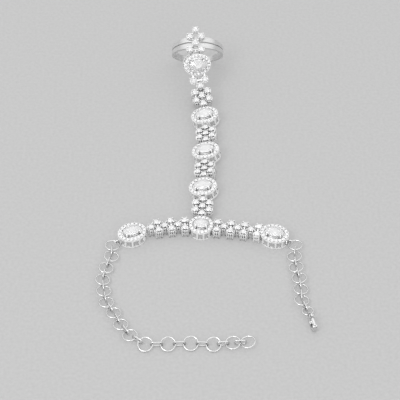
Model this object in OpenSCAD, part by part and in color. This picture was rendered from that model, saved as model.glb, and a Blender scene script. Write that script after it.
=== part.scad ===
// Hand chain bracelet: a finger ring, a chain of stone clusters and flowers down the back of the hand,
// a wrist band of clusters and stone links, and two ring chains that close with a small clasp.
// It lies on a flat surface. +X is along the wrist band, +Y from the wrist to the finger, +Z up.

/* [Finger ring] */
// Bore of the finger ring
ring_bore_d = 18.2; // [16:0.1:20]
// Thickness of the band
band_t = 1.1; // [0.9:0.1:1.6]
// Width of the two strips together, under the stones
shoulder_w = 4.8; // [4:0.1:5.6]
// Width of the band opposite the stones
band_w = 1.6; // [1.2:0.1:2.4]
// Gap between the two strips under the stones
strip_gap = 0.8; // [0.4:0.1:1.2]
// Spacing of the stone rows on the ring, along the finger
ring_row = 2.75; // [2.7:0.05:3.2]
// Lean of the ring towards the wrist, in degrees
ring_lean = 25; // [15:1:32]
// Half the spacing of two stones side by side, on the ring and under the drop cluster
head_x = 2.25; // [2.2:0.05:2.6]

/* [Clusters] */
// Length of a cluster over its rim
cluster_l = 10.6; // [10:0.1:12]
// Width of a cluster over its rim
cluster_w = 8.6; // [8.2:0.1:9.6]
// Length of the cluster in the middle of the wrist band
centre_l = 9; // [8.8:0.1:10.4]
// Height of the pierced wall, from the base to the top of the stone plate
gallery_h = 4; // [3.6:0.1:4.8]
// Height of the bottom rail of the pierced wall
rail_h = 0.8; // [0.5:0.1:1]
// Thickness of the pierced wall
gallery_t = 0.6; // [0.5:0.05:0.8]
// Width of a post of the pierced wall
post_w = 0.7; // [0.5:0.1:0.9]
// Length of an oval stone
oval_l = 6.8; // [6:0.1:7.2]
// Width of an oval stone
oval_w = 4.7; // [4.2:0.1:5]
// Diameter of a small rim stone
rim_stone_d = 1.3; // [1.1:0.05:1.35]

/* [Flowers and wrist links] */
// Diameter of a round stone
stone_d = 2.2; // [1.9:0.1:2.3]
// Diameter of the rail round a stone
cup_d = 2.8; // [2.6:0.1:2.9]
// Spacing across a flower, from its middle to a side stone
flower_x = 2.45; // [2.4:0.05:3]
// Spacing along a flower, from its middle to a row of side stones
flower_y = 1.6; // [1.55:0.05:2]
// Height of the top plate's upper face
plate_z = 3.9; // [3.6:0.1:4.6]
// Diameter of a claw wire
claw_d = 0.4; // [0.36:0.02:0.44]
// Half the spacing of the two stones of a pair on the wrist band
pair_x = 1.75; // [1.7:0.05:2]
// Distance from a pair to its single stone on the wrist band
pair_y = 2.5; // [2.45:0.05:2.8]

/* [Chains] */
// Outer diameter of a large chain ring
link_d = 5.6; // [5.2:0.1:6]
// Outer diameter of the ring that holds the clasp
end_ring_d = 4.4; // [4:0.1:5]
// Diameter of the wire of the chain rings
link_wire = 0.5; // [0.45:0.05:0.6]
// Outer length of a joining link
joiner_l = 4.8; // [4.7:0.1:5]
// Clear width inside a joining link
joiner_slot = 1.55; // [1.5:0.05:1.7]

/* [Clasp] */
// Length of the clasp from the middle of its eye to its tip
clasp_l = 7.2; // [7:0.1:9]
// Height of the clasp
clasp_h = 4; // [3.8:0.1:4.6]
// Thickness of the clasp
clasp_t = 1.5; // [1.4:0.1:2.2]
// Thickness of the lever
lever_t = 0.7; // [0.5:0.05:0.9]
// Diameter of the lever's pivot pin
pin_d = 0.5; // [0.4:0.05:0.6]

/* [Hidden] */

metal = [0.78, 0.78, 0.8];
crystal = [0.92, 0.95, 0.98, 0.8];
// Clearance between a stone and its metal
seat_gap = 0.06;
// Least space between two stones of a rim
rim_gap = 0.11;
// Thickness of a stone plate
plate_t = 0.7;
// Height of the line of loops and rods that join the units
link_z = 1.9;
// Wire and middle radius of a loop
loop_wire = 0.36;
loop_r = 0.75;
// Diameter of a rod or bar that a loop holds
rod_d = 0.5;
posts = 12;
end_angle = 180 / posts;
// The middle of the wrist band's centre cluster, and its turn
centre_at = [-1.216, -18.186];
centre_turn = -4;

// Half the distance between the two rods of a cluster, across its width or along its length
function rod_across(w) = (w / 2 - gallery_t / 2) * cos(end_angle);
cluster_half = rod_across(cluster_w);
cluster_end = rod_across(cluster_l);
flower_end = 2 * flower_y;
// Gap between a flower and the cluster next to it
unit_gap = 0.25;
flower_half = flower_end + cup_d / 2 + unit_gap + cluster_w / 2 - cluster_half;

// The last flower has one stone further out, on a longer loop
far_stone_y = flower_end + 0.8;
far_loop_y = far_stone_y + 3.8;

// A direction turned from +Y towards +X, and raised
function along(turn, rise) = [sin(turn) * cos(rise), cos(turn) * cos(rise), sin(rise)];

// The chain on the hand, from the wrist: from each unit's middle to its near and far joint, then its turn,
// rise and roll in degrees
HAND = [
    [flower_half, flower_half, 3, 4, -2],
    [cluster_half, cluster_half, 3, 3, -10],
    [flower_half, flower_half, 4, 0, -11],
    [cluster_half, cluster_half, 2, 0, -12],
    [flower_half, flower_half + 0.6, -1, 0, -11],
    [cluster_half, cluster_half, -5, 0, -10],
    [flower_half + 0.75, far_loop_y, -11, 24, -4]];
hand_start = concat(centre_at, 0) + cluster_half * along(-centre_turn, 0) + [0, 0, link_z];
function hand_joint(i) = i == 0 ? hand_start
    : hand_joint(i - 1) + (HAND[i - 1][0] + HAND[i - 1][1]) * along(HAND[i - 1][2], HAND[i - 1][3]);
drop_start = hand_joint(7);
// From the pair under the drop cluster to the cluster's middle, and to its far rod
drop_pair = 6.1;
drop_length = drop_pair + cluster_half;

// The finger ring stands on the surface and leans on the chain
ring_r = ring_bore_d / 2 + band_t;
head_z = ring_r + 0.4;
// Place of the middle stone of the ring's head along the finger, then of its rows and of its loop
head_y = -0.7;
HEAD_ROWS = [head_y + 2 * ring_row, head_y + ring_row, head_y, head_y - ring_row];
head_loop = 2;
ring_loop = [0, HEAD_ROWS[3] - head_loop, head_z + plate_t / 2];
foot_w = band_w + (shoulder_w - band_w) / (2 * ring_r + 2);
ring_z = ring_r * cos(ring_lean) + foot_w / 2 * sin(ring_lean);
// Roll of the ring about its own axis, which takes its head a little to the left
ring_roll = -4;
function rolled(p) = [p[0] * cos(ring_roll) + p[2] * sin(ring_roll), p[1],
    p[2] * cos(ring_roll) - p[0] * sin(ring_roll)];
function leaned(p) = [p[0], p[1] * cos(ring_lean) - p[2] * sin(ring_lean),
    p[1] * sin(ring_lean) + p[2] * cos(ring_lean)];
ring_loop_at = leaned(rolled(ring_loop));
drop_rise = asin((ring_z + ring_loop_at[2] - drop_start[2]) / drop_length);
drop_turn = -12;
drop_top = drop_start + drop_length * along(drop_turn, drop_rise);
ring_at = drop_top - ring_loop_at;

// The wrist band: the turn of each unit from the centre cluster outwards, in degrees
LEFT = [-93, -98, -103];
RIGHT = [97, 98, 101];
left_cluster_turn = -112;
right_cluster_turn = 104;
pair_pitch = 2 * pair_y;
// From the centre cluster's middle to the loops at its two ends
centre_loop = centre_l / 2 + 1.45;
side = [cos(centre_turn), sin(centre_turn), 0];
left_start = concat(centre_at, link_z) - centre_loop * side;
right_start = concat(centre_at, link_z) + centre_loop * side;
function wrist_joint(start, turns, i) = i == 0 ? start
    : wrist_joint(start, turns, i - 1) + pair_pitch * along(turns[i - 1], 0);
left_at = wrist_joint(left_start, LEFT, 3) + cluster_end * along(left_cluster_turn, 0);
// The right cluster carries the last pair
last_pair = cluster_l / 2 + 0.9;
right_at = wrist_joint(right_start, RIGHT, 3) + last_pair * along(right_cluster_turn, 0);

joiner_wire = 0.5;
// Height of the chain rings, in the middle of the joining links that stand on the surface
link_z_chain = joiner_wire + joiner_slot / 2;
link_r = (link_d - link_wire) / 2;
end_ring_r = (end_ring_d - link_wire) / 2;
// From a wrist cluster's middle to the loop at its free end
free_loop = cluster_l / 2 + 0.65;
free_loop_z = loop_r + loop_wire / 2 + 0.02;
// The turn from each of those loops to the middle of the ring that it holds
left_link_turn = -140;
right_link_turn = 135;
left_link = left_at + free_loop * along(left_cluster_turn, 0) + link_r * along(left_link_turn, 0);
right_link = right_at + free_loop * along(right_cluster_turn, 0) + link_r * along(right_link_turn, 0);

// Places of the large rings, from the first one of each chain, and the tip and roll of each in degrees.
// Close rings are tipped along the chain, so that each lies under the one before it.
LEFT_ROUTE = [[0, 0, -8.5, -4], [-0.2, -5.1, -8.5, -7], [-1.9, -10.5, -8, -8], [-2.9, -15.9, -8, -8],
    [-2.3, -21.1, -8.5, -7], [-1.2, -26.2, -8.5, -4], [1.6, -30.9, -8.5, -6], [4.2, -36, -8, -4],
    [7.6, -40.7, -8, 0], [13, -44.6, 0, 18], [20.9, -44.5, -1, 19], [28.8, -44.2, 0, 19],
    [36.7, -44.6, -2, 19], [43.4, -43.9, -7, 3], [48.6, -43.6, -9, -4]];
RIGHT_ROUTE = [[0, 0, -8.5, 3], [-0.5, -5.4, -8.5, 6], [-0.1, -10.4, -8.5, 8], [0.8, -15.4, -8.5, 4],
    [1.2, -20.5, -8.5, -4], [1.3, -25.5, -8.5, -6]];
// Where the ring that holds the clasp lies, and the clasp's turn
END_RING = [3.2, -30.3];
end_ring_tip = -8.5;
clasp_turn = 166;

// Moves to a unit of the hand chain, with its base at z 0
module on_hand(i) {
    translate(hand_joint(i)) rotate([0, 0, -HAND[i][2]]) rotate([HAND[i][3], 0, 0])
        rotate([0, HAND[i][4], 0]) translate([0, HAND[i][0], -link_z]) children();
}

// Moves to the drop cluster under the ring
module on_drop() {
    translate(drop_start) rotate([0, 0, -drop_turn]) rotate([drop_rise, 0, 0])
        translate([0, drop_pair, -link_z]) children();
}

// Moves to the middle of the finger ring, leaned and rolled
module on_ring() {
    translate(ring_at) rotate([ring_lean, 0, 0]) rotate([0, ring_roll, 0]) children();
}

module on_centre() {
    translate(concat(centre_at, 0)) rotate([0, 0, centre_turn]) children();
}

// Moves to a wrist unit, with +Y along the band and away from the centre
module on_wrist(start, turns, i) {
    translate(wrist_joint(start, turns, i)) rotate([0, 0, -turns[i]]) translate([0, 0, -link_z]) children();
}

// Moves to an end cluster, with +X along the band and away from the centre
module on_end(at, turn) {
    translate([at[0], at[1], 0]) rotate([0, 0, 90 - turn]) children();
}

// Points of an ellipse, spaced about evenly along it
function even(t, a, b) = t + (a - b) / (a + b) / 2 * 180 / PI * sin(2 * t);
function ellipse_at(a, b, t) = [a * cos(t), b * sin(t)];
function ellipse(a, b, n) = [for (i = [0 : n - 1]) ellipse_at(a, b, even(360 * i / n, a, b))];
function around(a, b) = PI * (3 * (a + b) - sqrt((3 * a + b) * (a + 3 * b)));
rim_in = gallery_t + 0.15;
function rim_count(l, w) = floor(around(l / 2 - rim_in, w / 2 - rim_in) / (rim_stone_d + rim_gap));
function rim_places(l, w) = let(a = l / 2 - rim_in, b = w / 2 - rim_in, n = rim_count(l, w))
    [for (i = [0 : n - 1]) ellipse_at(a, b, even(360 * (i + 0.5) / n, a, b))];

// A cut stone: a table, two rows of crown facets and a pavilion that runs to a point
function cut_points(a, b, n, top, deep) = concat(
    [for (i = [0 : n - 1]) [0.58 * a * cos(360 * i / n), 0.58 * b * sin(360 * i / n), top]],
    [for (i = [0 : n - 1]) [a * cos(360 * (i + 0.5) / n), b * sin(360 * (i + 0.5) / n), 0]],
    [[0, 0, -deep]]);
function cut_faces(n) = concat(
    [[for (i = [n - 1 : -1 : 0]) i]],
    [for (i = [0 : n - 1]) [i, (i + 1) % n, n + i]],
    [for (i = [0 : n - 1]) [(i + 1) % n, n + (i + 1) % n, n + i]],
    [for (i = [0 : n - 1]) [n + i, n + (i + 1) % n, 2 * n]]);
module cut_stone(a, b, n, top, deep) {
    polyhedron(cut_points(a, b, n, top, deep), cut_faces(n), convexity = 2);
}

// Depth below a stone's girdle at which its pavilion fits a hole
function sunk(r, hole_r, deep) = deep * (1 - (hole_r - seat_gap) / r);
stone_deep = 0.95;
stone_hole_r = 0.8;
stone_z = plate_z + sunk(stone_d / 2, stone_hole_r, stone_deep);
rim_deep = 0.5;
rim_hole_r = 0.42;
rim_z = gallery_h + sunk(rim_stone_d / 2, rim_hole_r, rim_deep);
oval_deep = 1.6;
collet_h = gallery_h + 0.75;
collet_l = oval_l - 0.8;
collet_w = oval_w - 0.8;
oval_z = collet_h + sunk(oval_w / 2, collet_w / 2, oval_deep);

module round_stone() {
    cut_stone(stone_d / 2, stone_d / 2, 8, 0.36, stone_deep);
}

module stones_at(places, z) {
    color(crystal) for (p = places) translate([p[0], p[1], z]) round_stone();
}

module rim_stones(l, w) {
    color(crystal) for (p = rim_places(l, w)) translate([p[0], p[1], rim_z])
        cut_stone(rim_stone_d / 2, rim_stone_d / 2, 8, 0.24, rim_deep);
}

module oval_stone(l) {
    color(crystal) translate([0, 0, oval_z]) cut_stone(l / 2, oval_w / 2, 16, 0.85, oval_deep);
}

// A small upright ring soldered to a unit, in the plane of the chain along Y
module loop() {
    rotate([0, 90, 0]) rotate_extrude($fn = 36) translate([loop_r, 0]) circle(d = loop_wire, $fn = 16);
}

// Outline of a row of cups and the bars between them
module cups_outline(places, bars, hole_r) {
    difference() {
        union() {
            for (p = places) translate(p) circle(d = cup_d, $fn = 32);
            for (b = bars) bar(places[b[0]], places[b[1]]);
        }
        for (p = places) translate(p) circle(r = hole_r, $fn = 32);
    }
}

module bar(p, q) {
    d = q - p;
    translate(p) rotate(atan2(d[1], d[0])) translate([0, -rod_d / 2]) square([norm(d), rod_d]);
}

// Four claw wires round a stone, each at an angle from the X axis
module claws(low, high, angle = 45) {
    r = stone_d / 2 + seat_gap + claw_d / 2;
    for (t = [angle, 180 - angle, 180 + angle, -angle]) rotate(t) translate([r, 0, low])
        cylinder(d = claw_d, h = high - low, $fn = 16);
}

// A soldered group of cups on claws: a top plate, a middle plate, and claws down to the base
module cup_group(places, bars, angles = []) {
    translate([0, 0, plate_z - plate_t]) linear_extrude(plate_t) cups_outline(places, bars, stone_hole_r);
    translate([0, 0, link_z - rod_d / 2]) linear_extrude(rod_d) cups_outline(places, bars, stone_hole_r);
    for (i = [0 : len(places) - 1]) translate(places[i])
        claws(0, stone_z + 0.2, i < len(angles) ? angles[i] : 45);
}

function flower_places(far) = [[0, far], [-flower_x, flower_y], [flower_x, flower_y], [0, 0],
    [-flower_x, -flower_y], [flower_x, -flower_y], [0, -flower_end]];
flower_bars = [[0, 1], [0, 2], [1, 3], [2, 3], [1, 4], [2, 5], [3, 4], [3, 5], [4, 6], [5, 6]];

// A loop at a distance from a cup, and the bar that joins them
module reaching_loop(cup_y, reach) {
    translate([0, reach, link_z]) loop();
    translate([-rod_d / 2, cup_y + cup_d / 2 - 0.3, link_z - rod_d / 2])
        cube([rod_d, reach - cup_y - cup_d / 2 + 0.4 - loop_r, rod_d]);
}

// A flower with its far stone and its two loops at the distances given
module flower_frame(far, near_reach, far_reach) {
    color(metal) {
        cup_group(flower_places(far), flower_bars);
        rotate(180) reaching_loop(flower_end, near_reach);
        reaching_loop(far, far_reach);
    }
}

module hand_flower(i, far) {
    on_hand(i) flower_frame(far, HAND[i][0], HAND[i][1]);
}

// A cluster: a pierced oval wall, a plate for the rim stones and a raised collet for the oval stone
module cluster_frame(l, w, stone_l) {
    a = l / 2;
    b = w / 2;
    n = 48;
    wall_a = a - gallery_t / 2;
    wall_b = b - gallery_t / 2;
    hollow_l = stone_l - 0.8;
    linear_extrude(rail_h) difference() {
        polygon(ellipse(a, b, n));
        polygon(ellipse(a - gallery_t, b - gallery_t, n));
    }
    for (i = [0 : posts - 1]) let(t = 360 * (i + 0.5) / posts)
        translate([wall_a * cos(t), wall_b * sin(t), 0]) rotate(atan2(wall_b * sin(t), wall_a * cos(t)))
            translate([-gallery_t / 2, -post_w / 2, 0]) cube([gallery_t, post_w, gallery_h - plate_t / 2]);
    translate([0, 0, gallery_h - plate_t]) linear_extrude(plate_t) difference() {
        polygon(ellipse(a, b, n));
        polygon(ellipse(hollow_l / 2, collet_w / 2, n));
        for (p = rim_places(l, w)) translate(p) circle(r = rim_hole_r, $fn = 16);
    }
    translate([0, 0, gallery_h - plate_t]) linear_extrude(collet_h - gallery_h + plate_t) difference() {
        polygon(ellipse(hollow_l / 2 + 0.35, collet_w / 2 + 0.35, n));
        polygon(ellipse(hollow_l / 2, collet_w / 2, n));
    }
    for (s = [-1, 1], t = [-1, 1]) translate([s * 0.76 * stone_l / 2, t * 0.76 * oval_w / 2, gallery_h - plate_t])
        cylinder(d = 0.6, h = oval_z + 0.35 - gallery_h + plate_t, $fn = 16);
}

// A rod across the end window of the wall, for a loop to hold
module end_rod(half, span) {
    translate([-span / 2, half, link_z]) rotate([0, 90, 0]) cylinder(d = rod_d, h = span, $fn = 16);
}

function end_span(across) = 2 * (across / 2 - gallery_t / 2) * sin(end_angle);

module two_rods() {
    for (s = [-1, 1]) end_rod(s * cluster_half, end_span(cluster_l));
}

// Metal of one unit
module finger_ring() {
    color(metal) on_ring() {
        intersection() {
            rotate([90, 0, 0]) difference() {
                cylinder(r = ring_r, h = 2 * shoulder_w, center = true, $fn = 96);
                cylinder(d = ring_bore_d, h = 2 * shoulder_w + 1, center = true, $fn = 96);
            }
            rotate([90, 0, 90]) linear_extrude(2 * ring_r + 2, center = true) difference() {
                polygon([[-band_w / 2, -ring_r - 1], [band_w / 2, -ring_r - 1],
                    [shoulder_w / 2, ring_r + 1], [-shoulder_w / 2, ring_r + 1]]);
                polygon([[0, 0], [strip_gap / 2, ring_r + 2], [-strip_gap / 2, ring_r + 2]]);
            }
        }
        translate([0, 0, head_z]) linear_extrude(plate_t) cups_outline(RING_PLACES, RING_BARS, stone_hole_r);
        for (p = RING_PLACES) translate(concat(p, head_z)) claws(0, head_stone_z - head_z + 0.2);
        difference() {
            translate([0, head_y, ring_r - band_t / 2])
                cylinder(d = cup_d, h = head_z - ring_r + band_t / 2 + 0.1, $fn = 32);
            translate([0, head_y, ring_r - band_t]) cylinder(r = stone_hole_r, h = 3, $fn = 32);
        }
        for (s = [-1, 1], y = [-1, 1])
            translate([s * (head_x - 0.9), head_y + y * (ring_row - 1.1), ring_r - band_t * 0.8])
                cylinder(d = 0.7, h = head_z - ring_r + band_t, $fn = 16);
        translate([-rod_d / 2, ring_loop[1] + loop_r - 0.1, head_z]) cube([rod_d, head_loop - loop_r + 0.1, plate_t]);
        translate(ring_loop) loop();
    }
}
RING_PLACES = [[0, HEAD_ROWS[0]], [-head_x, HEAD_ROWS[1]], [head_x, HEAD_ROWS[1]], [0, HEAD_ROWS[2]],
    [-head_x, HEAD_ROWS[3]], [head_x, HEAD_ROWS[3]]];
RING_BARS = [[0, 1], [0, 2], [1, 3], [2, 3], [3, 4], [3, 5], [4, 5]];
head_stone_z = head_z + plate_t + sunk(stone_d / 2, stone_hole_r, stone_deep);

module ring_stones() {
    on_ring() stones_at(RING_PLACES, head_stone_z);
}

// The pair of stones below the drop cluster, and the bars that carry them
DROP_PAIR = [[-head_x, -drop_pair], [head_x, -drop_pair]];
module drop_cluster() {
    color(metal) on_drop() {
        cluster_frame(cluster_l, cluster_w, oval_l);
        end_rod(cluster_half, end_span(cluster_l));
        cup_group(DROP_PAIR, [[0, 1]]);
        for (s = [-1, 1]) translate([s * head_x - 0.3, -drop_pair + cup_d / 2 - 0.3, plate_z - plate_t])
            cube([0.6, drop_pair - cup_d / 2 - 0.6 - cluster_w / 4, plate_t]);
    }
}

module hand_frame(i) {
    color(metal) on_hand(i) {
        cluster_frame(cluster_l, cluster_w, oval_l);
        two_rods();
    }
}

module centre_cluster() {
    color(metal) on_centre() {
        cluster_frame(centre_l, cluster_w, CENTRE_STONE);
        end_rod(cluster_half, end_span(centre_l));
        for (s = [0, 180]) rotate(s) {
            translate([centre_loop, 0, link_z]) rotate(90) loop();
            translate([centre_l / 2 - gallery_t, -rod_d / 2, link_z - rod_d / 2])
                cube([centre_loop - loop_r - centre_l / 2 + gallery_t + 0.1, rod_d, rod_d]);
            translate([rod_across(centre_l), -end_span(cluster_w) / 2, link_z]) rotate([-90, 0, 0])
                cylinder(d = rod_d, h = end_span(cluster_w), $fn = 16);
        }
    }
}
CENTRE_STONE = centre_l - 3.6;

module free_end_loop() {
    translate([free_loop, 0, free_loop_z]) rotate(90) loop();
    translate([cluster_l / 2 - gallery_t, -0.6, 0]) cube([gallery_t, 1.2, 2 * free_loop_z]);
}

module left_cluster() {
    color(metal) on_end(left_at, left_cluster_turn) {
        cluster_frame(cluster_l, cluster_w, oval_l);
        rotate(90) end_rod(cluster_end, end_span(cluster_w));
        free_end_loop();
    }
}

LAST_PAIR = [[-last_pair, -pair_x], [-last_pair, pair_x]];
module right_cluster() {
    color(metal) on_end(right_at, right_cluster_turn) {
        cluster_frame(cluster_l, cluster_w, oval_l);
        cup_group(LAST_PAIR, [[0, 1]]);
        free_end_loop();
    }
}

WRIST_PLACES = [[-pair_x, 0], [pair_x, 0], [0, pair_y]];
WRIST_BARS = [[0, 1], [0, 2], [1, 2]];
module wrist_links(start, turns) {
    color(metal) for (i = [0 : 2]) on_wrist(start, turns, i) {
        cup_group(WRIST_PLACES, WRIST_BARS, [45, 45, 30]);
        reaching_loop(pair_y, pair_pitch);
    }
}

module wrist_stones(start, turns) {
    for (i = [0 : 2]) on_wrist(start, turns, i) stones_at(WRIST_PLACES, stone_z);
}

// One ring of the chains, flat and round the origin
module chain_ring(r) {
    rotate_extrude($fn = 48) translate([r, 0]) circle(d = link_wire, $fn = 16);
}

// A joining link: upright, with its length along Y
module joiner() {
    r = joiner_slot / 2 + joiner_wire / 2;
    straight = joiner_l - joiner_slot - 2 * joiner_wire;
    rotate([0, -90, 0]) {
        for (s = [0, 180]) rotate(s) translate([0, straight / 2])
            rotate_extrude(angle = 180, $fn = 32) translate([r, 0]) circle(d = joiner_wire, $fn = 16);
        for (s = [-r, r]) translate([s, -straight / 2, 0]) rotate([-90, 0, 0])
            cylinder(d = joiner_wire, h = straight, $fn = 16);
    }
}

function turn_of(d) = atan2(d[0], d[1]);
function flat2(p) = [p[0], p[1]];

// A run of rings along a route, joined by upright links
module ring_chain(start, route) {
    n = len(route);
    for (i = [0 : n - 1]) {
        before = flat2(route[max(0, i - 1)]);
        after = flat2(route[min(n - 1, i + 1)]);
        translate([start[0] + route[i][0], start[1] + route[i][1], link_z_chain])
            rotate(-turn_of(after - before)) rotate([-route[i][2], route[i][3], 0]) chain_ring(link_r);
    }
    for (i = [1 : n - 1]) chain_joiner(start, flat2(route[i - 1]), flat2(route[i]), 0);
}

// The joining link between two rings, shifted along towards the second one
module chain_joiner(start, p, q, shift) {
    d = q - p;
    m = (p + q) / 2 + shift * d / norm(d);
    translate([start[0] + m[0], start[1] + m[1], joiner_wire + joiner_slot / 2]) rotate(-turn_of(d)) joiner();
}

module extension_chain() {
    color(metal) ring_chain(left_link, LEFT_ROUTE);
}

module clasp_chain() {
    last = flat2(RIGHT_ROUTE[len(RIGHT_ROUTE) - 1]);
    color(metal) {
        ring_chain(right_link, RIGHT_ROUTE);
        chain_joiner(right_link, last, END_RING, (link_r - end_ring_r) / 2);
        translate([right_link[0] + END_RING[0], right_link[1] + END_RING[1], link_z_chain])
            rotate(-turn_of(END_RING - last)) rotate([-end_ring_tip, 0, 0]) chain_ring(end_ring_r);
    }
}

// The clasp stands on its edge: X along it from the middle of its eye, Z up from the surface
eye_hole_r = 0.52;
eye_r = 0.95;
eye_z = link_z_chain - end_ring_r * sin(end_ring_tip);
hook_r = clasp_h / 2;
hook_wall = 0.75;
lever_z = clasp_h - hook_wall / 2 - 0.05;
pin_x = 2.1;
tip_x = clasp_l - hook_wall - 0.1;
module on_clasp() {
    eye = [right_link[0] + END_RING[0], right_link[1] + END_RING[1]];
    translate(concat(eye, 0) + end_ring_r * along(clasp_turn, 0)) rotate(90 - clasp_turn) children();
}

// Extrudes an outline drawn in X and Z to a thickness centred on Y
module upright(t) {
    rotate([90, 0, 0]) linear_extrude(t, center = true) children();
}

module stadium(x0, x1, z, r) {
    translate([x0, z]) circle(r = r, $fn = 48);
    translate([x1, z]) circle(r = r, $fn = 48);
    translate([x0, z - r]) square([x1 - x0, 2 * r]);
}

module clasp_body() {
    color(metal) on_clasp() difference() {
        union() {
            upright(clasp_t * 0.55) difference() {
                union() {
                    translate([0, eye_z]) circle(r = eye_r, $fn = 32);
                    translate([0.6, eye_z - 0.45]) square([1.2, 0.9]);
                }
                translate([0, eye_z]) circle(r = eye_hole_r, $fn = 32);
            }
            upright(clasp_t) difference() {
                stadium(hook_r + 1.1, clasp_l - hook_r, hook_r, hook_r);
                stadium(hook_r + 1.6, clasp_l - hook_r, hook_r, hook_r - hook_wall);
                translate([pin_x + 0.9, hook_r + 0.35]) square([tip_x - pin_x - 0.9, hook_r]);
            }
            translate([pin_x, -clasp_t / 2, lever_z]) rotate([-90, 0, 0]) cylinder(d = 1.1, h = clasp_t, $fn = 24);
        }
        translate([0, 0, lever_z - 1.45]) upright(lever_t + 0.16) square([tip_x + 0.35, clasp_h]);
    }
    color(metal) on_clasp() translate([pin_x, -clasp_t / 2, lever_z]) rotate([-90, 0, 0])
        cylinder(d = pin_d, h = clasp_t, $fn = 24);
}

module clasp_lever() {
    color(metal) on_clasp() upright(lever_t) difference() {
        union() {
            translate([pin_x, lever_z]) circle(r = 0.6, $fn = 32);
            translate([pin_x, lever_z - 0.3]) square([tip_x + 0.25 - pin_x, 0.6]);
            translate([pin_x - 0.1, lever_z + 0.1]) square([0.9, 0.85]);
        }
        translate([pin_x, lever_z]) circle(d = pin_d + 0.12, $fn = 32);
    }
}

module drop_oval_stone() {
    on_drop() oval_stone(oval_l);
}

module drop_rim_stones() {
    on_drop() {
        rim_stones(cluster_l, cluster_w);
        stones_at(DROP_PAIR, stone_z);
    }
}

module hand_cluster_1() {
    hand_frame(1);
}

module hand_oval_stone_1() {
    on_hand(1) oval_stone(oval_l);
}

module hand_rim_stones_1() {
    on_hand(1) rim_stones(cluster_l, cluster_w);
}

module hand_cluster_2() {
    hand_frame(3);
}

module hand_oval_stone_2() {
    on_hand(3) oval_stone(oval_l);
}

module hand_rim_stones_2() {
    on_hand(3) rim_stones(cluster_l, cluster_w);
}

module hand_cluster_3() {
    hand_frame(5);
}

module hand_oval_stone_3() {
    on_hand(5) oval_stone(oval_l);
}

module hand_rim_stones_3() {
    on_hand(5) rim_stones(cluster_l, cluster_w);
}

module centre_oval_stone() {
    on_centre() oval_stone(CENTRE_STONE);
}

module centre_rim_stones() {
    on_centre() rim_stones(centre_l, cluster_w);
}

module left_oval_stone() {
    on_end(left_at, left_cluster_turn) oval_stone(oval_l);
}

module left_rim_stones() {
    on_end(left_at, left_cluster_turn) rim_stones(cluster_l, cluster_w);
}

module right_oval_stone() {
    on_end(right_at, right_cluster_turn) oval_stone(oval_l);
}

module right_rim_stones() {
    on_end(right_at, right_cluster_turn) {
        rim_stones(cluster_l, cluster_w);
        stones_at(LAST_PAIR, stone_z);
    }
}

module flower_1() {
    hand_flower(0, flower_end);
}

module flower_stones_1() {
    on_hand(0) stones_at(flower_places(flower_end), stone_z);
}

module flower_2() {
    hand_flower(2, flower_end);
}

module flower_stones_2() {
    on_hand(2) stones_at(flower_places(flower_end), stone_z);
}

module flower_3() {
    hand_flower(4, flower_end);
}

module flower_stones_3() {
    on_hand(4) stones_at(flower_places(flower_end), stone_z);
}

module flower_4() {
    hand_flower(6, far_stone_y);
}

module flower_stones_4() {
    on_hand(6) stones_at(flower_places(far_stone_y), stone_z);
}

module left_wrist_links() {
    wrist_links(left_start, LEFT);
}

module left_wrist_stones() {
    wrist_stones(left_start, LEFT);
}

module right_wrist_links() {
    wrist_links(right_start, RIGHT);
}

module right_wrist_stones() {
    wrist_stones(right_start, RIGHT);
}

finger_ring();
ring_stones();
drop_cluster();
drop_oval_stone();
drop_rim_stones();
hand_cluster_1();
hand_oval_stone_1();
hand_rim_stones_1();
hand_cluster_2();
hand_oval_stone_2();
hand_rim_stones_2();
hand_cluster_3();
hand_oval_stone_3();
hand_rim_stones_3();
centre_cluster();
centre_oval_stone();
centre_rim_stones();
left_cluster();
left_oval_stone();
left_rim_stones();
right_cluster();
right_oval_stone();
right_rim_stones();
flower_1();
flower_stones_1();
flower_2();
flower_stones_2();
flower_3();
flower_stones_3();
flower_4();
flower_stones_4();
left_wrist_links();
left_wrist_stones();
right_wrist_links();
right_wrist_stones();
extension_chain();
clasp_chain();
clasp_body();
clasp_lever();
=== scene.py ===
"""Dresses the hand chain bracelet: cut stones, claws, wires, panes, silver, a pale floor and soft light."""
import math

import bmesh
import bpy
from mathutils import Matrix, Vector


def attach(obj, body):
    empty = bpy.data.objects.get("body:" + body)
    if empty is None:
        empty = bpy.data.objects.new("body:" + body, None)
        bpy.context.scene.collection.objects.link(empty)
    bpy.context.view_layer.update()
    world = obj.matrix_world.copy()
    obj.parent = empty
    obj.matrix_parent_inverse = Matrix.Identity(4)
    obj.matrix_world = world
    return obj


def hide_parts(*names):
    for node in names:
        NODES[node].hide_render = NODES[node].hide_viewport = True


MM = 0.001

# The photograph's view: where the middle of the picture meets the floor, and the camera's place from there.
# The angle comes from half the picture's width and the distance it is seen from, both in pixels
LOOK_AT = Vector((-1.616, -2.586, 0.0)) * MM
CAMERA_DISTANCE = 600 * MM
CAMERA_ELEVATION = math.radians(48.5)
CAMERA_ANGLE = 2 * math.atan(200 / 1600)

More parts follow.
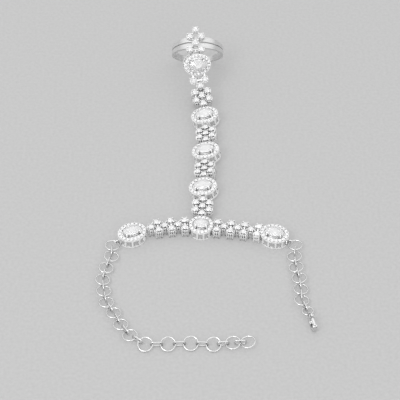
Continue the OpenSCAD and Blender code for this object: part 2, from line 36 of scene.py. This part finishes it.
# The nodes of stones, each with the metal that holds it
METAL_OF = {
    "ring_stones": "finger_ring",
    "drop_oval_stone": "drop_cluster", "drop_rim_stones": "drop_cluster",
    "hand_oval_stone_1": "hand_cluster_1", "hand_rim_stones_1": "hand_cluster_1",
    "hand_oval_stone_2": "hand_cluster_2", "hand_rim_stones_2": "hand_cluster_2",
    "hand_oval_stone_3": "hand_cluster_3", "hand_rim_stones_3": "hand_cluster_3",
    "centre_oval_stone": "centre_cluster", "centre_rim_stones": "centre_cluster",
    "left_oval_stone": "left_cluster", "left_rim_stones": "left_cluster",
    "right_oval_stone": "right_cluster", "right_rim_stones": "right_cluster",
    "flower_stones_1": "flower_1", "flower_stones_2": "flower_2",
    "flower_stones_3": "flower_3", "flower_stones_4": "flower_4",
    "left_wrist_stones": "left_wrist_links", "right_wrist_stones": "right_wrist_links",
}

# Painted shade: the silver's colour is painted this dark in the deepest recesses, where shade falls, and
# brightens this quickly as a place opens
PAINTED_SHADE_COLOUR = (0.04, 0.04, 0.045)
PAINTED_SHADE_STEP = 3.2

# Finding a stone in its solid: the least cosine between the normals of one facet, how far the girdle's
# points lie from the table and the culet, how much farther out an oval's farthest point is than its nearest,
# and the share of the farthest distance that counts as far
SAME_FACET = 0.9999
GIRDLE_MARGIN = 0.02 * MM
OVAL_RATIO = 1.1
FAR_SHARE = 0.97

# Half lengths over which a stone is an oval centre stone, or a round one. The rest are rim stones
OVAL_OVER = 2 * MM
ROUND_OVER = 0.85 * MM

# The cuts: how many sides the table has, and how far out its corners and the tips of the star facets are.
# Radii are shares of the girdle's radius, and half the girdle's height is a share of the half width. The cut
# stones are a hair wider than the plain ones
ROUND_CUT = {"fold": 8, "table": 0.56, "star": 0.78}
OVAL_CUT = {"fold": 10, "table": 0.4, "star": 0.68}
PAVILION_RADIUS = 0.46
GIRDLE_SHARE = 0.03
CUT_SCALE = 1.01

# Claws: how high over the girdle and how far from the stone's axis their wires end, the radius of the wires,
# and how far the bent ends reach in. An oval's distance is a share of its corner's
OVAL_CLAW_RISE = 0.35 * MM
OVAL_CLAW_SHARE = 0.76
OVAL_CLAW_SIZE = 0.27 * MM
OVAL_CLAW_REACH = 0.6 * MM
ROUND_CLAW_RISE = 0.2 * MM
ROUND_CLAW_OUT = 1.36 * MM
ROUND_CLAW_SIZE = 0.19 * MM
ROUND_CLAW_REACH = 0.42 * MM

# Finding a claw wire's end in the metal: how far off its height and its distance from the axis a point may
# lie, how near its points are to each other, and how far off its middle may lie
CLAW_LEVEL = 0.06 * MM
CLAW_WIDTH = 0.6 * MM
CLAW_SPACING = 0.16 * MM
CLAW_MISS = 0.08 * MM

# The bent end of a claw: inwards as a share of its reach, upwards and its radius as shares of its wire's
# radius. It starts this far down its wire
CLAW_BEND = ((0, 0, 1), (0.25, 0.5, 0.98), (0.62, 0.72, 0.9), (0.9, 0.55, 0.66), (1, 0.42, 0.25))
CLAW_ROOT = 0.3 * MM

# The sides round a claw, and round a prong or a basket wire
CLAW_SIDES = 8
WIRE_SIDES = 6

# The outer prongs of the rims: inwards, upwards and radius, from a root outside the line of the stones
PRONG_BEND = (
    (0, -0.45 * MM, 0.17 * MM),
    (0, 0.15 * MM, 0.17 * MM),
    (0.08 * MM, 0.4 * MM, 0.15 * MM),
    (0.2 * MM, 0.52 * MM, 0.07 * MM),
)
PRONG_OUT = 0.46 * MM

# The inner beads of the rims, and the thin round walls of the rim stones, from the axis and from the girdle
BEAD_IN = 0.4 * MM
BEAD_RADIUS = 0.2 * MM
BEAD_SIDES = 8
BEAD_ROWS = 4
COLLAR_INNER = 0.6 * MM
COLLAR_OUTER = 0.69 * MM
COLLAR_LOW = -0.24 * MM
COLLAR_HIGH = -0.02 * MM
COLLAR_SIDES = 16

# The baskets under round stones: how many wires, and how far from the stone's axis they start and end
FLOWER_BASKET = {"count": 12, "top": 1.42 * MM, "foot": 1.2 * MM}
WRIST_BASKET = {"count": 14, "top": 1.52 * MM, "foot": 1.1 * MM}

# The bow of a basket wire: outwards from its top, down from the girdle, and radius. Its foot has a radius of
# its own and ends this far over the floor
WIRE_BOW = (
    (0, 0.35 * MM, 0.15 * MM),
    (0.03 * MM, 1.1 * MM, 0.17 * MM),
    (-0.02 * MM, 2.2 * MM, 0.17 * MM),
)
WIRE_FOOT = 0.13 * MM
WIRE_FOOT_GAP = 0.25 * MM

# The pierced walls of the clusters: half lengths, the height of the oval stones' girdles over the base, and
# the windows that a joint goes through, counted round from the right end of the long axis
CLUSTER_HALF_L = 5.3 * MM
CENTRE_HALF_L = 4.5 * MM
CLUSTER_HALF_W = 4.3 * MM
OVAL_GIRDLE = 5.063 * MM
WINDOWS = 12
JOINT_WINDOWS = {"drop": (3, 9), "hand": (3, 9), "centre": (0, 3, 6), "left": (0, 6), "right": (0, 6)}

# The panes behind the windows, grey sheets that stand in for the shade seen through them: heights over the
# base, and how far inside the wall's outer face they lie
PANE_LOW = 0.75 * MM
PANE_HIGH = 3.35 * MM
PANE_DEPTHS = (0.3 * MM, 0.42 * MM)
PANE_STEPS = 4

# The metal's edges: points this near each other are joined, and edges sharper than the angle are rounded this
# wide, on the finger ring's band and on the cast pieces
WELD_DISTANCE = 0.002 * MM
BAND_EDGE = 0.25 * MM
CAST_EDGE = 0.06 * MM
EDGE_ANGLE = math.radians(40)

# The floor, and the light. The sky's brightness goes by the sine of the height over the horizon
FLOOR_HALF = 1.5
FLOOR_DROP = 0.05 * MM
SKY_STOPS = ((0, 0.1), (0.2, 0.1), (0.4, 0.85), (1, 1))
SKY_STRENGTH = 1.3
LAMP_SIZE = 0.5

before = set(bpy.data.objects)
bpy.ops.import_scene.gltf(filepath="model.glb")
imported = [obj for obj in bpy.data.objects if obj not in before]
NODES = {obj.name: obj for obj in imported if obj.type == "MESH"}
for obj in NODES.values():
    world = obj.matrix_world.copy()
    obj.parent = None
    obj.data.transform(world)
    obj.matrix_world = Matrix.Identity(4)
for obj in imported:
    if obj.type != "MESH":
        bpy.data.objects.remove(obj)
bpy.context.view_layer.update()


def set_camera():
    """The camera at the photograph's angle."""
    data = bpy.data.cameras.new("camera")
    camera = bpy.data.objects.new("camera", data)
    bpy.context.scene.collection.objects.link(camera)
    away = Vector((0, -math.cos(CAMERA_ELEVATION), math.sin(CAMERA_ELEVATION)))
    camera.location = LOOK_AT + CAMERA_DISTANCE * away
    camera.rotation_euler = (math.pi / 2 - CAMERA_ELEVATION, 0, 0)
    data.angle = CAMERA_ANGLE
    data.clip_start = 0.01
    data.clip_end = 20
    bpy.context.scene.camera = camera


def grey(level):
    """A neutral colour."""
    return (level, level, level)


class Tone:
    """A value that varies over a surface. Its sums, differences and products are worked out by nodes."""

    def __init__(self, finish, socket):
        self.finish = finish
        self.socket = socket

    def _math(self, operation, a, b):
        return self.finish.node("ShaderNodeMath", {"operation": operation}, {0: a, 1: b})

    def __add__(self, other):
        return self._math("ADD", self, other)

    __radd__ = __add__

    def __sub__(self, other):
        return self._math("SUBTRACT", self, other)

    def __rsub__(self, other):
        return self._math("SUBTRACT", other, self)

    def __mul__(self, other):
        return self._math("MULTIPLY", self, other)

    __rmul__ = __mul__


class Finish:
    """One material, built on a Principled shader."""

    def __init__(self, name):
        self.material = bpy.data.materials.new(name)
        self.material.use_nodes = True
        self.tree = self.material.node_tree
        self.tree.nodes.clear()
        self.shader = self.tree.nodes.new("ShaderNodeBsdfPrincipled")
        output = self.tree.nodes.new("ShaderNodeOutputMaterial")
        self.tree.links.new(self.shader.outputs["BSDF"], output.inputs["Surface"])

    def _feed(self, socket, value):
        if isinstance(value, Tone):
            self.tree.links.new(value.socket, socket)
        else:
            socket.default_value = value

    def node(self, kind, settings, values, output=0):
        """Any node, with its settings made first and its sockets fed after."""
        made = self.tree.nodes.new(kind)
        for name, value in settings.items():
            setattr(made, name, value)
        for name, value in values.items():
            self._feed(made.inputs[name], value)
        return Tone(self, made.outputs[output])

    def noise(self, scale, detail):
        """Cloudy variation from 0 to 1, fixed to the object. The scale is in clouds per metre."""
        place = self.node("ShaderNodeTexCoord", {}, {}, "Object")
        values = {"Vector": place, "Scale": scale, "Detail": detail}
        return self.node("ShaderNodeTexNoise", {}, values, "Fac")

    def blend(self, share, first, second):
        """A colour between two colours. Sockets 0, 6, 7 and 2 are the share, the colours and the result."""
        colours = {0: share, 6: (*first, 1), 7: (*second, 1)}
        return self.node("ShaderNodeMix", {"data_type": "RGBA"}, colours, 2)

    def openness(self, distance):
        """How open a place is, from 0 in a deep recess to 1 in the open. It marks where shade is painted into
        the colour.
        """
        return self.node("ShaderNodeAmbientOcclusion", {"samples": 8}, {"Distance": distance}, "AO")

    def bump(self, height, distance):
        """Small relief, whose height in metres is the distance times the height."""
        values = {"Height": height, "Distance": distance, "Strength": 1.0}
        return self.node("ShaderNodeBump", {}, values, "Normal")

    def set(self, **values):
        """Feeds the shader's own sockets, named with underscores for spaces."""
        for name, value in values.items():
            self._feed(self.shader.inputs[name.replace("_", " ")], value)


def silver_finish(name, bright, metallic, reach, relief=0.012 * MM, dull=0.2, shade=0.3):
    """Plated silver with the faint haze of castings, and painted shade: dark where a place is less open than
    its shade.
    """
    silver = Finish(name)
    haze = silver.noise(scale=700, detail=3)
    # Painted shade: the colour darkens in recesses, between parts and under things
    unshaded_share = (silver.openness(reach) - shade) * PAINTED_SHADE_STEP
    silver.set(
        Base_Color=silver.blend(unshaded_share, PAINTED_SHADE_COLOUR, grey(bright)),
        Metallic=metallic,
        Roughness=dull + 0.14 * haze,
        Normal=silver.bump(silver.noise(scale=1600, detail=2), relief),
    )
    return silver.material


def crystal_finish(name, clearness):
    """Clear cut crystal over silver foil: the foil gives the white body, the clearness the depth. Shade is
    painted grey into its recesses.
    """
    crystal = Finish(name)
    cloud = crystal.noise(scale=500, detail=2)
    # Painted shade: the white body greys where the stone is closed in
    unshaded_share = crystal.openness(0.5 * MM)
    crystal.set(
        Base_Color=crystal.blend(unshaded_share, (0.82, 0.82, 0.83), (0.985, 0.985, 0.99)),
        Roughness=0.02 + 0.03 * cloud,
        IOR=1.7,
        Transmission_Weight=clearness,
    )
    return crystal.material


def floor_finish():
    """Pale grey paper with a very faint grain. It glows a little, so that the shadows stay soft."""
    paper = Finish("pale_grey_paper")
    grain = paper.noise(scale=900, detail=4)
    paper.set(
        Base_Color=paper.blend(grain, grey(0.276), grey(0.17)),
        Roughness=0.9,
        Emission_Color=(1, 1, 1, 1),
        Emission_Strength=0.27,
    )
    return paper.material


FRAME_SILVER = silver_finish("frosted_silver", bright=0.98, metallic=0.45, reach=0.85 * MM, shade=0.34)
CUP_SILVER = silver_finish("shaded_silver", bright=0.95, metallic=0.5, reach=1.35 * MM, shade=0.45)
BAND_SILVER = silver_finish(
    "band_silver", bright=0.68, metallic=0.5, reach=0.5 * MM, relief=0.006 * MM, dull=0.3
)
CHAIN_SILVER = silver_finish(
    "polished_silver", bright=0.74, metallic=1.0, reach=1.2 * MM, relief=0.003 * MM, dull=0.13, shade=0.5
)
WIRE_SILVER = silver_finish("bright_wire_silver", bright=0.98, metallic=0.4, reach=0.25 * MM)
# Painted shade: the panes' grey stands in for the shaded hollow seen through the windows
WINDOW_SHADE_SILVER = silver_finish("window_shade_silver", bright=0.55, metallic=0.4, reach=0.3 * MM)
OVAL_CRYSTAL = crystal_finish("oval_crystal", clearness=0.5)
ROUND_CRYSTAL = crystal_finish("round_crystal", clearness=0.42)
RIM_CRYSTAL = crystal_finish("rim_crystal", clearness=0.3)


def metal_finish(name):
    """The silver of a metal node."""
    if name == "finger_ring":
        return BAND_SILVER
    if "chain" in name or "clasp" in name:
        return CHAIN_SILVER
    if "cluster" in name:
        return FRAME_SILVER
    return CUP_SILVER


def stone_finish(name):
    """The crystal of a node of stones."""
    if "oval" in name:
        return OVAL_CRYSTAL
    if "rim" in name:
        return RIM_CRYSTAL
    return ROUND_CRYSTAL


class Shape:
    """Points and faces that grow as forms are added."""

    def __init__(self):
        self.points = []
        self.faces = []

    def add(self, points, faces):
        """Takes in one form, whose faces count its own points from 0."""
        start = len(self.points)
        self.points.extend(points)
        self.faces.extend([tuple(start + i for i in face) for face in faces])


def new_piece(name, shape, material, smooth=False):
    """A mesh piece that rides on the jewel, with the given finish."""
    mesh = bpy.data.meshes.new(name)
    mesh.from_pydata([tuple(p) for p in shape.points], [], shape.faces)
    mesh.polygons.foreach_set("use_smooth", [smooth] * len(mesh.polygons))
    mesh.materials.append(material)
    mesh.update()
    piece = bpy.data.objects.new(name, mesh)
    bpy.context.scene.collection.objects.link(piece)
    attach(piece, "jewel")
    return piece


def islands(node):
    """The points of each loose solid of a CAD node, and its faces' normals and areas."""
    work = bmesh.new()
    work.from_mesh(node.data)
    bmesh.ops.remove_doubles(work, verts=work.verts, dist=1e-6)
    work.normal_update()
    seen = set()
    found = []
    for seed in work.verts:
        if seed in seen:
            continue
        stack = [seed]
        group = []
        seen.add(seed)
        while stack:
            vert = stack.pop()
            group.append(vert)
            for edge in vert.link_edges:
                other = edge.other_vert(vert)
                if other not in seen:
                    seen.add(other)
                    stack.append(other)
        # A dictionary keeps each face once, and in the same order on each run
        faces = dict.fromkeys(face for vert in group for face in vert.link_faces)
        found.append(([v.co.copy() for v in group], [(f.normal.copy(), f.calc_area()) for f in faces]))
    work.free()
    return found


def metal_points(node):
    """The points of a metal node, each place once."""
    places = {tuple(round(c, 7) for c in v.co) for v in node.data.vertices}
    return [Vector(p) for p in places]


class Stone:
    """Where one cut stone of the CAD model sits: the middle of its girdle, its axes and half sizes."""

    def __init__(self, points, facets):
        # The table is the largest facet, and faces up
        sums = []
        for normal, area in facets:
            for row in sums:
                if row[0].dot(normal) > SAME_FACET:
                    row[1] += area
                    break
            else:
                sums.append([normal, area])
        self.up = max(sums, key=lambda row: row[1])[0].normalized()
        heights = [p.dot(self.up) for p in points]
        top = max(heights)
        low = min(heights)
        girdle = [p for p, h in zip(points, heights) if low + GIRDLE_MARGIN < h < top - GIRDLE_MARGIN]
        self.middle = sum(girdle, Vector()) / len(girdle)
        level = self.middle.dot(self.up)
        self.crown = top - level
        self.deep = level - low
        reach = [(p - self.middle).length for p in girdle]
        far = girdle[reach.index(max(reach))] - self.middle
        across = self.up.cross(far).normalized()
        # On an oval the farthest points lie a little to either side of the long axis, which is between them
        if max(reach) > OVAL_RATIO * min(reach):
            along = Vector()
            for p in girdle:
                arm = p - self.middle
                if arm.dot(far) > 0 and arm.length > FAR_SHARE * max(reach):
                    along += arm
            across = self.up.cross(along).normalized()
        self.across = across
        self.along = across.cross(self.up).normalized()
        self.half_l = max(abs((p - self.middle).dot(self.along)) for p in girdle) * CUT_SCALE
        self.half_w = max(abs((p - self.middle).dot(self.across)) for p in girdle) * CUT_SCALE

    def place(self, x, y, z):
        """A point given along the stone's own axes, in metres."""
        return self.middle + x * self.along + y * self.across + z * self.up


def brilliant(stone, shape, fold, table, star):
    """Adds a brilliant in a stone's place: table, star, kite and girdle facets, thin girdle and pavilion."""
    turn = math.tau / fold
    edge = GIRDLE_SHARE * stone.half_w
    belt = math.cos(turn / 2)
    # At these heights the kite facets and the main facets of the pavilion are flat
    star_z = edge + (stone.crown - edge) * (1 - star * belt) / (1 - table)
    main_z = -edge - (stone.deep - edge) * (1 - PAVILION_RADIUS * belt)
    points = []

    def ring(radius, z, offset, count):
        start = len(points)
        for i in range(count):
            angle = turn * (i * fold / count + offset)
            x = stone.half_l * radius * math.cos(angle)
            y = stone.half_w * radius * math.sin(angle)
            points.append(stone.place(x, y, z))
        return start

    tab = ring(table, stone.crown, 0, fold)
    tip = ring(star, star_z, 0.5, fold)
    upper = ring(1, edge, 0, 2 * fold)
    lower = ring(1, -edge, 0, 2 * fold)
    main = ring(PAVILION_RADIUS, main_z, 0.5, fold)
    points.append(stone.place(0, 0, -stone.deep))
    culet = len(points) - 1
    faces = [tuple(tab + i for i in range(fold))]
    for i in range(fold):
        j = (i + 1) % fold
        h = (i - 1) % fold
        faces.append((tab + i, tip + i, tab + j))
        faces.append((tab + i, tip + h, upper + 2 * i, tip + i))
        faces.append((tip + i, upper + 2 * i, upper + 2 * i + 1))
        faces.append((tip + i, upper + 2 * i + 1, upper + (2 * i + 2) % (2 * fold)))
        for k in (2 * i, 2 * i + 1):
            n = (k + 1) % (2 * fold)
            faces.append((upper + k, lower + k, lower + n, upper + n))
        faces.append((lower + 2 * i, main + i, lower + 2 * i + 1))
        faces.append((lower + 2 * i + 1, main + i, lower + (2 * i + 2) % (2 * fold)))
        faces.append((lower + 2 * i, main + h, culet, main + i))
    shape.add(points, faces)


def tube(path, radii, sides, shape):
    """Adds a closed tube along a short path, with its own radius at each point."""
    points = []
    faces = []
    side = None
    for k, (here, radius) in enumerate(zip(path, radii)):
        ahead = path[min(k + 1, len(path) - 1)] - path[max(k - 1, 0)]
        ahead.normalize()
        if side is None:
            side = ahead.orthogonal().normalized()
        side = (side - side.dot(ahead) * ahead).normalized()
        other = ahead.cross(side)
        for i in range(sides):
            angle = math.tau * i / sides
            points.append(here + radius * (math.cos(angle) * side + math.sin(angle) * other))
    for k in range(len(path) - 1):
        for i in range(sides):
            j = (i + 1) % sides
            faces.append((k * sides + i, k * sides + j, (k + 1) * sides + j, (k + 1) * sides + i))
    faces.append(tuple(range(sides - 1, -1, -1)))
    faces.append(tuple((len(path) - 1) * sides + i for i in range(sides)))
    shape.add(points, faces)


def bead(middle, up, radius, shape):
    """Adds a small round bead of metal."""
    side = up.orthogonal().normalized()
    other = up.cross(side)
    points = [middle + radius * up]
    faces = []
    for row in range(1, BEAD_ROWS):
        tilt = math.pi * row / BEAD_ROWS
        for i in range(BEAD_SIDES):
            angle = math.tau * i / BEAD_SIDES
            out = math.cos(angle) * side + math.sin(angle) * other
            points.append(middle + radius * (math.sin(tilt) * out + math.cos(tilt) * up))
    points.append(middle - radius * up)
    last = len(points) - 1
    base = 1 + (BEAD_ROWS - 2) * BEAD_SIDES
    for i in range(BEAD_SIDES):
        j = (i + 1) % BEAD_SIDES
        faces.append((0, 1 + i, 1 + j))
        for row in range(BEAD_ROWS - 2):
            a = 1 + row * BEAD_SIDES
            b = a + BEAD_SIDES
            faces.append((a + i, b + i, b + j, a + j))
        faces.append((base + i, last, base + j))
    shape.add(points, faces)


def collar(stone, shape):
    """Adds the thin round wall of a rim stone."""
    points = []
    faces = []
    corners = (
        (COLLAR_OUTER, COLLAR_LOW),
        (COLLAR_OUTER, COLLAR_HIGH),
        (COLLAR_INNER, COLLAR_HIGH),
        (COLLAR_INNER, COLLAR_LOW),
    )
    for radius, z in corners:
        for i in range(COLLAR_SIDES):
            angle = math.tau * i / COLLAR_SIDES
            points.append(stone.place(radius * math.cos(angle), radius * math.sin(angle), z))
    for k in range(len(corners)):
        here = k * COLLAR_SIDES
        after = (k + 1) % len(corners) * COLLAR_SIDES
        for i in range(COLLAR_SIDES):
            j = (i + 1) % COLLAR_SIDES
            faces.append((here + i, here + j, after + j, after + i))
    shape.add(points, faces)


def claw_tops(stone, points, rise, radius):
    """The middles of the claw wires' ends that stand round a stone, found in the metal's own points."""
    rest = []
    for p in points:
        arm = p - stone.middle
        height = arm.dot(stone.up)
        out = (arm - height * stone.up).length
        if abs(height - rise) < CLAW_LEVEL and abs(out - radius) < CLAW_WIDTH:
            rest.append(p)
    tops = []
    while rest:
        # The group grows while it is gone through, until no more points are near
        group = [rest.pop()]
        for p in group:
            near = [q for q in rest if (q - p).length < CLAW_SPACING]
            rest = [q for q in rest if q not in near]
            group.extend(near)
        top = sum(group, Vector()) / len(group)
        if abs((top - stone.middle - rise * stone.up).length - radius) < CLAW_MISS:
            tops.append(top)
    return tops


def claw_tip(stone, top, size, reach, shape):
    """Adds the bent end of a claw, from its wire over the edge of the stone."""
    inward = stone.middle - top
    inward -= inward.dot(stone.up) * stone.up
    inward.normalize()
    path = [top - CLAW_ROOT * stone.up]
    path += [top + ahead * reach * inward + rise * size * stone.up for ahead, rise, _ in CLAW_BEND]
    radii = [size] + [share * size for _, _, share in CLAW_BEND]
    tube(path, radii, CLAW_SIDES, shape)


def window_panes(stone, half_l, open_windows, shape):
    """Adds grey panes in the windows of a cluster's wall, standing in for the shade seen through them, but
    not where a joint goes through.
    """
    # The count starts on the right, whichever way the stone's own long axis points
    side = -1 if stone.along.x < 0 else 1
    low = PANE_LOW - OVAL_GIRDLE
    high = PANE_HIGH - OVAL_GIRDLE
    # Each step round the wall adds four points: outer low, outer high, inner low and inner high
    last = 4 * PANE_STEPS
    for window in range(WINDOWS):
        if window in open_windows:
            continue
        points = []
        for k in range(PANE_STEPS + 1):
            angle = math.tau * (window - 0.5 + k / PANE_STEPS) / WINDOWS
            for depth in PANE_DEPTHS:
                x = side * (half_l - depth) * math.cos(angle)
                y = side * (CLUSTER_HALF_W - depth) * math.sin(angle)
                points.extend([stone.place(x, y, low), stone.place(x, y, high)])
        faces = [(0, 1, 3, 2), (last, last + 2, last + 3, last + 1)]
        for a in range(0, last, 4):
            b = a + 4
            faces.append((a, b, b + 1, a + 1))
            faces.append((a + 2, a + 3, b + 3, b + 2))
            faces.append((a + 1, b + 1, b + 3, a + 3))
            faces.append((a, a + 2, b + 2, b))
        shape.add(points, faces)


def basket_wires(stone, shape, count, top, foot):
    """Adds the upright wires of the basket under a stone, drawn in at the foot, just over the floor."""
    depth = stone.middle.z - WIRE_FOOT_GAP
    radii = [radius for _, _, radius in WIRE_BOW] + [WIRE_FOOT]
    for i in range(count):
        angle = math.tau * (i + 0.5) / count
        x = math.cos(angle)
        y = math.sin(angle)
        path = [stone.place((top + out) * x, (top + out) * y, -down) for out, down, _ in WIRE_BOW]
        path.append(stone.place(foot * x, foot * y, -depth))
        tube(path, radii, WIRE_SIDES, shape)


def set_rim(rim, shape):
    """Adds what holds a ring of small stones: a bead and a prong between each two, and a wall round each."""
    centre = sum((s.middle for s in rim), Vector()) / len(rim)
    first = rim[0].middle - centre
    up = rim[0].up
    second = up.cross(first)
    rim.sort(key=lambda s: math.atan2((s.middle - centre).dot(second), (s.middle - centre).dot(first)))
    for i, stone in enumerate(rim):
        after = rim[(i + 1) % len(rim)]
        between = (stone.middle + after.middle) / 2
        outward = (after.middle - stone.middle).cross(up).normalized()
        if outward.dot(between - centre) < 0:
            outward = -outward
        bead(between - BEAD_IN * outward, up, BEAD_RADIUS, shape)
        root = between + PRONG_OUT * outward
        path = [root + rise * up - inward * outward for inward, rise, _ in PRONG_BEND]
        tube(path, [radius for _, _, radius in PRONG_BEND], WIRE_SIDES, shape)
        collar(stone, shape)


def dress_stones():
    """Cuts every stone, and adds what holds it, the wires of the baskets and the panes in the walls."""
    for name, metal_name in METAL_OF.items():
        metal = metal_points(NODES[metal_name])
        cuts = Shape()
        grips = Shape()
        baskets = Shape()
        panes = Shape()
        rim = []
        for points, facets in islands(NODES[name]):
            stone = Stone(points, facets)
            if stone.half_l > OVAL_OVER:
                brilliant(stone, cuts, **OVAL_CUT)
                corner = OVAL_CLAW_SHARE * math.hypot(stone.half_l, stone.half_w)
                for top in claw_tops(stone, metal, OVAL_CLAW_RISE, corner):
                    claw_tip(stone, top, OVAL_CLAW_SIZE, OVAL_CLAW_REACH, grips)
                cluster = name.split("_")[0]
                half_l = CENTRE_HALF_L if cluster == "centre" else CLUSTER_HALF_L
                window_panes(stone, half_l, JOINT_WINDOWS[cluster], panes)
                continue
            brilliant(stone, cuts, **ROUND_CUT)
            if stone.half_l > ROUND_OVER:
                for top in claw_tops(stone, metal, ROUND_CLAW_RISE, ROUND_CLAW_OUT):
                    claw_tip(stone, top, ROUND_CLAW_SIZE, ROUND_CLAW_REACH, grips)
                if "wrist" in name:
                    basket_wires(stone, baskets, **WRIST_BASKET)
                elif "flower" in name:
                    basket_wires(stone, baskets, **FLOWER_BASKET)
            else:
                rim.append(stone)
        if rim:
            set_rim(rim, grips)
        cut = new_piece("cut_" + name, cuts, stone_finish(name))
        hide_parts(name)
        if grips.points:
            new_piece("grips_" + name, grips, WIRE_SILVER, smooth=True)
        if baskets.points:
            new_piece("baskets_" + name, baskets, WIRE_SILVER, smooth=True)
        if panes.points:
            new_piece("panes_" + name, panes, WINDOW_SHADE_SILVER)


def dress_metal():
    """Gives every metal node its silver, and rounds its edges off."""
    for name, node in NODES.items():
        if name in METAL_OF:
            continue
        node.data.materials.clear()
        node.data.materials.append(metal_finish(name))
        weld = node.modifiers.new("weld", "WELD")
        weld.merge_threshold = WELD_DISTANCE
        bevel = node.modifiers.new("soft_edges", "BEVEL")
        bevel.width = BAND_EDGE if name == "finger_ring" else CAST_EDGE
        bevel.segments = 2
        bevel.limit_method = "ANGLE"
        bevel.angle_limit = EDGE_ANGLE


def lay_floor():
    """A wide pale floor, a hair below the piece."""
    mesh = bpy.data.meshes.new("floor")
    corners = [(-FLOOR_HALF, -FLOOR_HALF, 0), (FLOOR_HALF, -FLOOR_HALF, 0),
               (FLOOR_HALF, FLOOR_HALF, 0), (-FLOOR_HALF, FLOOR_HALF, 0)]
    mesh.from_pydata(corners, [], [(0, 1, 2, 3)])
    mesh.materials.append(floor_finish())
    floor = bpy.data.objects.new("floor", mesh)
    floor.location.z = -FLOOR_DROP
    bpy.context.scene.collection.objects.link(floor)


def area_light(name, place, power):
    """A round soft lamp that shines on the middle of the picture."""
    data = bpy.data.lights.new(name, "AREA")
    data.shape = "DISK"
    data.size = LAMP_SIZE
    data.energy = power
    light = bpy.data.objects.new(name, data)
    light.location = place
    light.rotation_euler = (LOOK_AT - Vector(place)).to_track_quat("-Z", "Y").to_euler()
    bpy.context.scene.collection.objects.link(light)


def light_studio():
    """A sky that is dark low down and brightest overhead, and two large soft lamps."""
    world = bpy.data.worlds.new("studio")
    world.use_nodes = True
    nodes = world.node_tree.nodes
    links = world.node_tree.links
    place = nodes.new("ShaderNodeTexCoord")
    parts = nodes.new("ShaderNodeSeparateXYZ")
    ramp = nodes.new("ShaderNodeValToRGB")
    links.new(place.outputs["Generated"], parts.inputs[0])
    links.new(parts.outputs["Z"], ramp.inputs[0])
    links.new(ramp.outputs["Color"], nodes["Background"].inputs["Color"])
    while len(ramp.color_ramp.elements) < len(SKY_STOPS):
        ramp.color_ramp.elements.new(0.5)
    for stop, (height, tone) in zip(ramp.color_ramp.elements, SKY_STOPS):
        stop.position = height
        stop.color = (*grey(tone), 1)
    nodes["Background"].inputs["Strength"].default_value = SKY_STRENGTH
    bpy.context.scene.world = world
    area_light("key", place=(-0.55, -0.6, 1.0), power=4.5)
    area_light("front", place=(0.35, -0.9, 0.5), power=0.8)
    view = bpy.context.scene.view_settings
    view.view_transform = "Standard"
    view.look = "None"


set_camera()
dress_stones()
dress_metal()
lay_floor()
light_studio()
